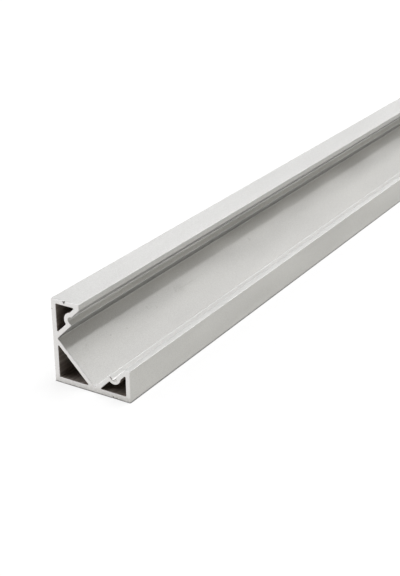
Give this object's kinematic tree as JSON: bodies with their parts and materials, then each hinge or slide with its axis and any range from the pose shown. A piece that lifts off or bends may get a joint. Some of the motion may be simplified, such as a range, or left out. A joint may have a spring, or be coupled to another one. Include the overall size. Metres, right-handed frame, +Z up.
{
  "type": "led strip channel",
  "caption": "Extruded aluminium corner channel: a 45-degree bed for an LED strip, lips for a snap-in cover, and hollow legs behind.",
  "frame": {"origin": "centre of the base face, midway along the bar", "axes": "+Y along the bar's length, +Z up from the base face, -X towards the back face; the channel opens towards +X and +Z"},
  "size_m": [0.018, 1, 0.018],
  "materials": {
    "anodised_aluminium": "matt silver anodised"
  },
  "bodies": {
    "root": {"corner_channel": "anodised_aluminium"}
  },
  "joints": []
}
